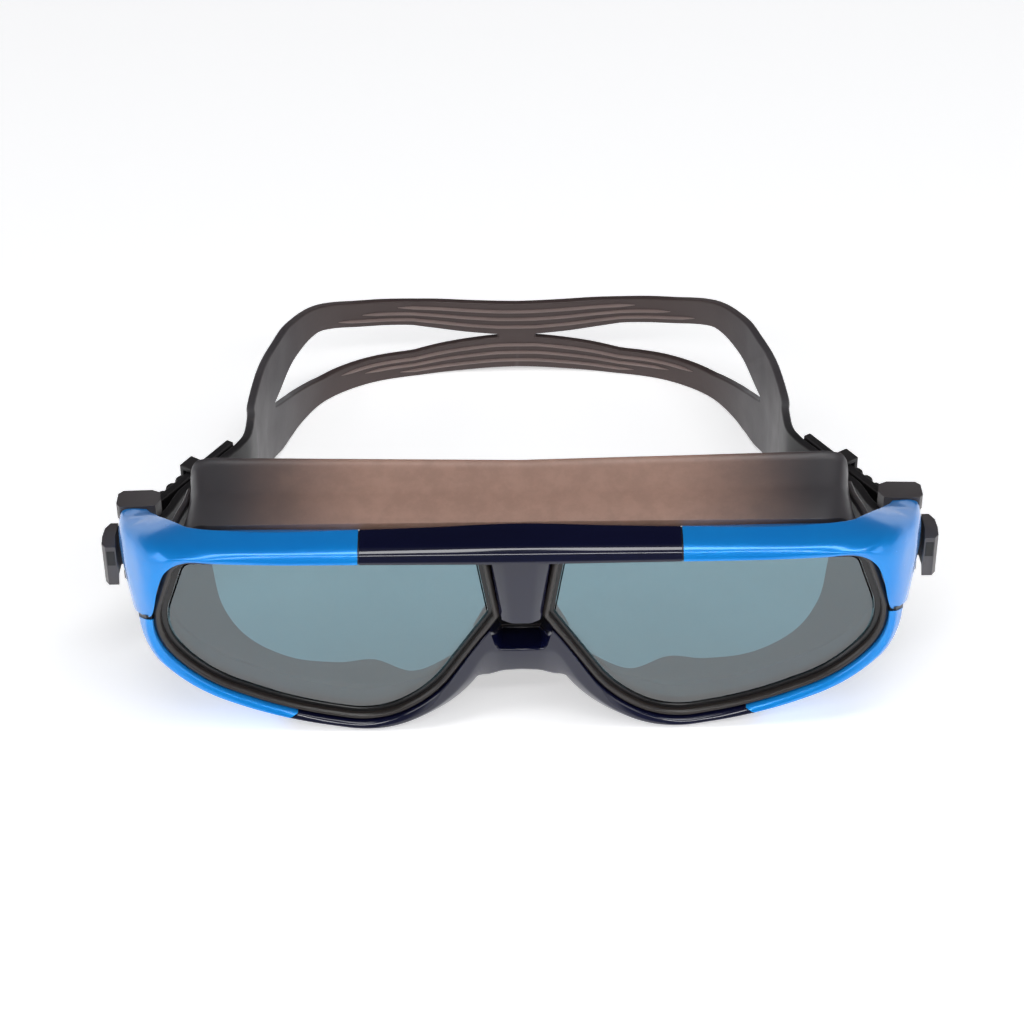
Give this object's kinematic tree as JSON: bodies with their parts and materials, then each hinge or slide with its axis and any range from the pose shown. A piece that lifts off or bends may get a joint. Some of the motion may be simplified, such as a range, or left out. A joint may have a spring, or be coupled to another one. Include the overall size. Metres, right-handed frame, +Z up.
{
  "type": "swim goggles",
  "caption": "Swim goggles with flat tinted lenses in a rigid frame, a soft face skirt, and a split head strap held by release buckles.",
  "frame": {"origin": "middle of the goggles' footprint on the surface that they stand on, level with the undersides of the two lower rims", "axes": "+X across the face to the wearer's left as the front is seen from the right, +Y from the lenses to the back of the head strap, +Z up"},
  "size_m": [0.1688, 0.1278, 0.0506],
  "materials": {
    "navy_gloss": "polished moulded plastic, near black navy",
    "blue_pearl": "glossy pearl blue lacquer on moulded plastic",
    "black_plastic": "satin moulded plastic",
    "strap_rubber": "satin moulded rubber with shallow ribs",
    "skirt_silicone": "smooth translucent smoke silicone",
    "lens_tint": "clear flat pane with a light teal tint",
    "pin_steel": "drawn stainless wire and pin"
  },
  "bodies": {
    "frame": {"brow_center": "navy_gloss", "lower_frame": "navy_gloss", "wing_left": "blue_pearl", "wing_right": "blue_pearl", "rim_end_left": "blue_pearl", "rim_end_right": "blue_pearl", "inner_frame": "black_plastic", "skirt": "skirt_silicone", "lens_left": "lens_tint", "lens_right": "lens_tint", "lens_gasket_left": "skirt_silicone", "lens_gasket_right": "skirt_silicone", "head_strap": "strap_rubber", "buckle_housing_left": "black_plastic", "buckle_housing_right": "black_plastic", "buckle_pin_left": "pin_steel", "buckle_pin_right": "pin_steel", "lever_pin_left": "pin_steel", "lever_pin_right": "pin_steel", "strap_post_left": "pin_steel", "strap_post_right": "pin_steel", "lever_spring_left": "pin_steel", "lever_spring_right": "pin_steel"},
    "lever_left": {"release_lever_left": "black_plastic"},
    "lever_right": {"release_lever_right": "black_plastic"},
    "keeper_left": {"strap_keeper_left": "strap_rubber"},
    "keeper_right": {"strap_keeper_right": "strap_rubber"}
  },
  "joints": [
    {"name": "release_lever_right", "type": "hinge", "parent": "frame", "child": "lever_right", "pos_m": [0.08, -0.03485, 0.0223], "axis": [0, 0, -1], "range_deg": [0, 6], "stiffness_Nm_per_rad": 0.02, "springref_deg": -5.73},
    {"name": "release_lever_left", "type": "hinge", "parent": "frame", "child": "lever_left", "pos_m": [-0.08, -0.03485, 0.0223], "axis": [0, 0, 1], "range_deg": [0, 6], "stiffness_Nm_per_rad": 0.02, "springref_deg": -5.73},
    {"name": "strap_keeper_right", "type": "slide", "parent": "frame", "child": "keeper_right", "axis": [-0.5592, 0.829, 0], "range_m": [0, 0.006]},
    {"name": "strap_keeper_left", "type": "slide", "parent": "frame", "child": "keeper_left", "axis": [0.5592, 0.829, 0], "range_m": [0, 0.006]}
  ]
}
